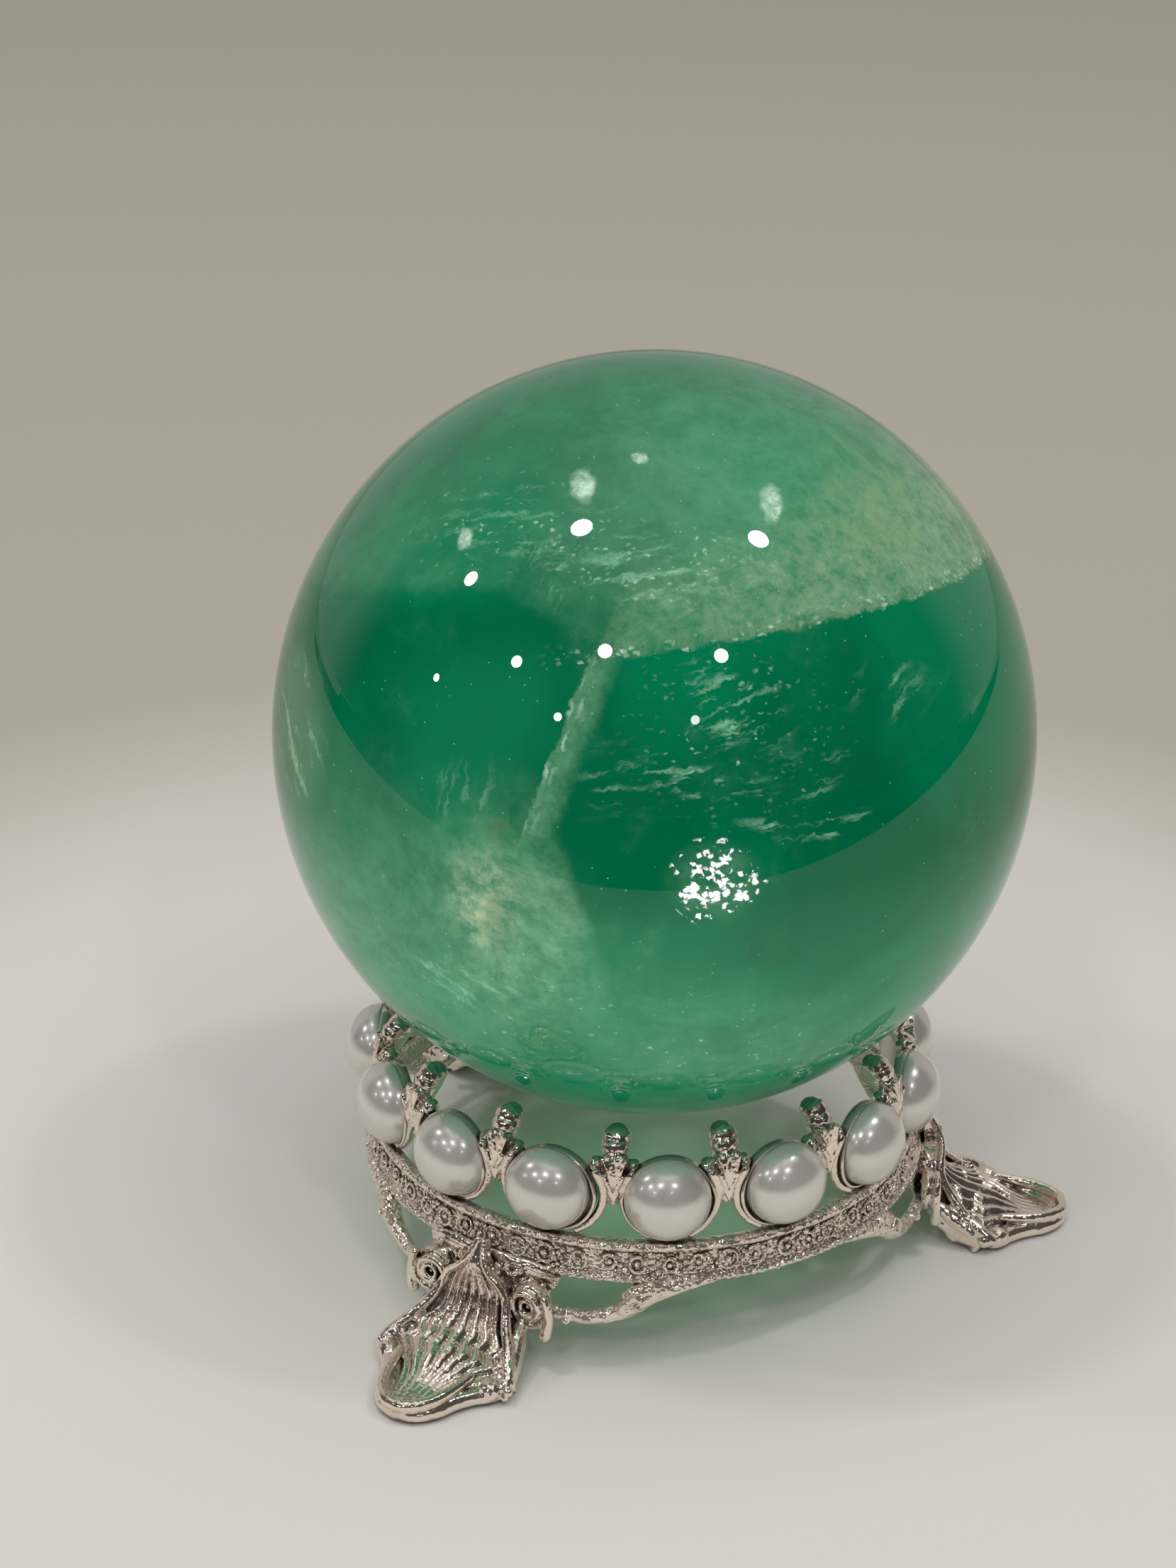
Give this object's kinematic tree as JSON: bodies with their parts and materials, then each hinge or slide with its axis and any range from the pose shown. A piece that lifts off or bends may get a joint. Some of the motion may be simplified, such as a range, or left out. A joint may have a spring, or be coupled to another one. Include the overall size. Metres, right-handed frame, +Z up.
{
  "type": "crystal ball",
  "caption": "Polished green stone sphere resting loose in a small three-footed cast stand with a crown of half pearls and leaning prongs.",
  "frame": {"origin": "middle of the box that the object fills, on the surface it stands on; the stand's ring axis is 2.9 mm behind it", "axes": "+Z up along the ring axis, -Y towards the front foot, +X to the right of someone facing the front foot"},
  "size_m": [0.0584, 0.0608, 0.0677],
  "materials": {
    "green_stone": "polished translucent green mineral with pale veils",
    "imitation_pearl": "pearl lustre",
    "plated_metal": "bright silver plating with darkened hollows"
  },
  "bodies": {
    "stand": {"half_pearl_01": "imitation_pearl", "half_pearl_02": "imitation_pearl", "half_pearl_03": "imitation_pearl", "half_pearl_04": "imitation_pearl", "half_pearl_05": "imitation_pearl", "half_pearl_06": "imitation_pearl", "half_pearl_07": "imitation_pearl", "half_pearl_08": "imitation_pearl", "half_pearl_09": "imitation_pearl", "half_pearl_10": "imitation_pearl", "half_pearl_11": "imitation_pearl", "half_pearl_12": "imitation_pearl", "half_pearl_13": "imitation_pearl", "half_pearl_14": "imitation_pearl", "half_pearl_15": "imitation_pearl", "lace_band": "plated_metal", "leaf_foot_front": "plated_metal", "leaf_foot_left": "plated_metal", "leaf_foot_right": "plated_metal", "pearl_cup_01": "plated_metal", "pearl_cup_02": "plated_metal", "pearl_cup_03": "plated_metal", "pearl_cup_04": "plated_metal", "pearl_cup_05": "plated_metal", "pearl_cup_06": "plated_metal", "pearl_cup_07": "plated_metal", "pearl_cup_08": "plated_metal", "pearl_cup_09": "plated_metal", "pearl_cup_10": "plated_metal", "pearl_cup_11": "plated_metal", "pearl_cup_12": "plated_metal", "pearl_cup_13": "plated_metal", "pearl_cup_14": "plated_metal", "pearl_cup_15": "plated_metal", "prong_01": "plated_metal", "prong_02": "plated_metal", "prong_03": "plated_metal", "prong_04": "plated_metal", "prong_05": "plated_metal", "prong_06": "plated_metal", "prong_07": "plated_metal", "prong_08": "plated_metal", "prong_09": "plated_metal", "prong_10": "plated_metal", "prong_11": "plated_metal", "prong_12": "plated_metal", "prong_13": "plated_metal", "prong_14": "plated_metal", "prong_15": "plated_metal", "scroll_brace_front_a": "plated_metal", "scroll_brace_front_b": "plated_metal", "scroll_brace_left_a": "plated_metal", "scroll_brace_left_b": "plated_metal", "scroll_brace_right_a": "plated_metal", "scroll_brace_right_b": "plated_metal"},
    "ball": {"crystal_ball": "green_stone"}
  },
  "joints": [
    {"name": "ball_lift", "type": "slide", "parent": "stand", "child": "ball", "axis": [0, 0, 1], "range_m": [0, 0.04]}
  ]
}
